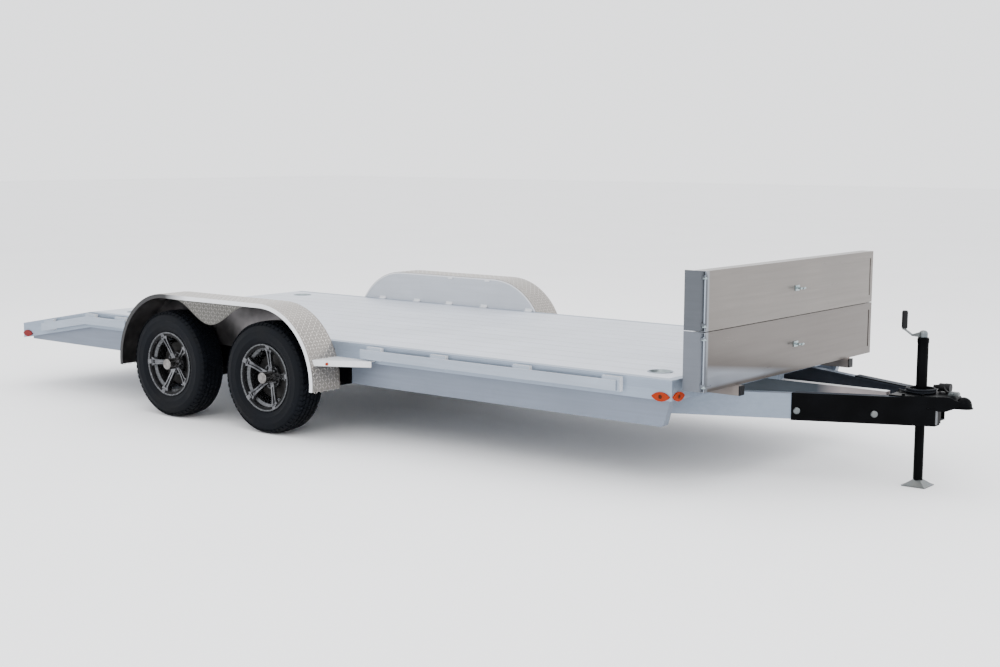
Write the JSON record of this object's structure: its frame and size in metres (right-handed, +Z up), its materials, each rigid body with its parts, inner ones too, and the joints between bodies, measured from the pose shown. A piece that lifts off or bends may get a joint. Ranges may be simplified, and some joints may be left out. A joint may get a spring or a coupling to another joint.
{
  "type": "car hauler trailer",
  "caption": "Open aluminium tandem-axle car hauler trailer with dovetail, teardrop fenders, stored loading ramps and an A-frame tongue, standing on its jack.",
  "frame": {"origin": "on the ground, under the middle of the trailer's whole length and width", "axes": "+X forward to the coupler, +Y to the left side, +Z up"},
  "size_m": [6.7179, 2.5, 1.141],
  "materials": {
    "frame_aluminium": "mill finish, satin",
    "deck_aluminium": "extruded, fine lengthwise lines",
    "tread_plate": "bright diamond tread plate",
    "ramp_aluminium": "satin sheet",
    "black_paint": "gloss black",
    "zinc_plate": "zinc plated",
    "tyre": "matte black",
    "alloy_wheel": "gunmetal with machined edges",
    "drum_iron": "dark",
    "black_plastic": "moulded",
    "lead_rubber": "smooth jacket",
    "amber_lens": "clear gloss",
    "red_lens": "clear gloss"
  },
  "bodies": {
    "trailer": {"frame_beams": "frame_aluminium", "side_rails": "frame_aluminium", "front_rail": "frame_aluminium", "rear_rail": "frame_aluminium", "crossmembers": "frame_aluminium", "deck_planks": "deck_aluminium", "dovetail_planks": "deck_aluminium", "rub_rails": "frame_aluminium", "fender_right": "tread_plate", "fender_left": "tread_plate", "fender_panels": "frame_aluminium", "fender_steps": "frame_aluminium", "axle_plates": "black_paint", "axle_front": "black_paint", "axle_rear": "black_paint", "tongue_rails": "frame_aluminium", "centre_beam": "frame_aluminium", "tongue_sleeves": "black_paint", "coupler": "black_paint", "coupler_latch": "zinc_plate", "jack_tube": "black_paint", "jack_crank": "zinc_plate", "jack_grip": "black_plastic", "ramp_upper": "ramp_aluminium", "ramp_lower": "ramp_aluminium", "ramp_rests": "frame_aluminium", "rest_caps": "black_plastic", "ramp_clamps": "zinc_plate", "marker_lamps": "amber_lens", "tail_lamps": "red_lens", "tie_downs": "zinc_plate", "lead_tube": "lead_rubber", "lead_coil": "lead_rubber", "lead_plug": "black_plastic"},
    "wheel_front_right": {"tyre_front_right": "tyre", "wheel_front_right": "alloy_wheel", "drum_front_right": "drum_iron"},
    "wheel_front_left": {"tyre_front_left": "tyre", "wheel_front_left": "alloy_wheel", "drum_front_left": "drum_iron"},
    "wheel_rear_right": {"tyre_rear_right": "tyre", "wheel_rear_right": "alloy_wheel", "drum_rear_right": "drum_iron"},
    "wheel_rear_left": {"tyre_rear_left": "tyre", "wheel_rear_left": "alloy_wheel", "drum_rear_left": "drum_iron"},
    "jack_leg": {"jack_leg": "black_paint"}
  },
  "joints": [
    {"name": "wheel_front_right_spin", "type": "hinge", "parent": "trailer", "child": "wheel_front_right", "pos_m": [-0.571, -1.13, 0.344], "axis": [0, 1, 0], "continuous": true},
    {"name": "wheel_front_left_spin", "type": "hinge", "parent": "trailer", "child": "wheel_front_left", "pos_m": [-0.571, 1.13, 0.344], "axis": [0, 1, 0], "continuous": true},
    {"name": "wheel_rear_right_spin", "type": "hinge", "parent": "trailer", "child": "wheel_rear_right", "pos_m": [-1.469, -1.13, 0.344], "axis": [0, 1, 0], "continuous": true},
    {"name": "wheel_rear_left_spin", "type": "hinge", "parent": "trailer", "child": "wheel_rear_left", "pos_m": [-1.469, 1.13, 0.344], "axis": [0, 1, 0], "continuous": true},
    {"name": "jack_leg_slide", "type": "slide", "parent": "trailer", "child": "jack_leg", "axis": [0, 0, 1], "range_m": [-0.06, 0.28]}
  ]
}
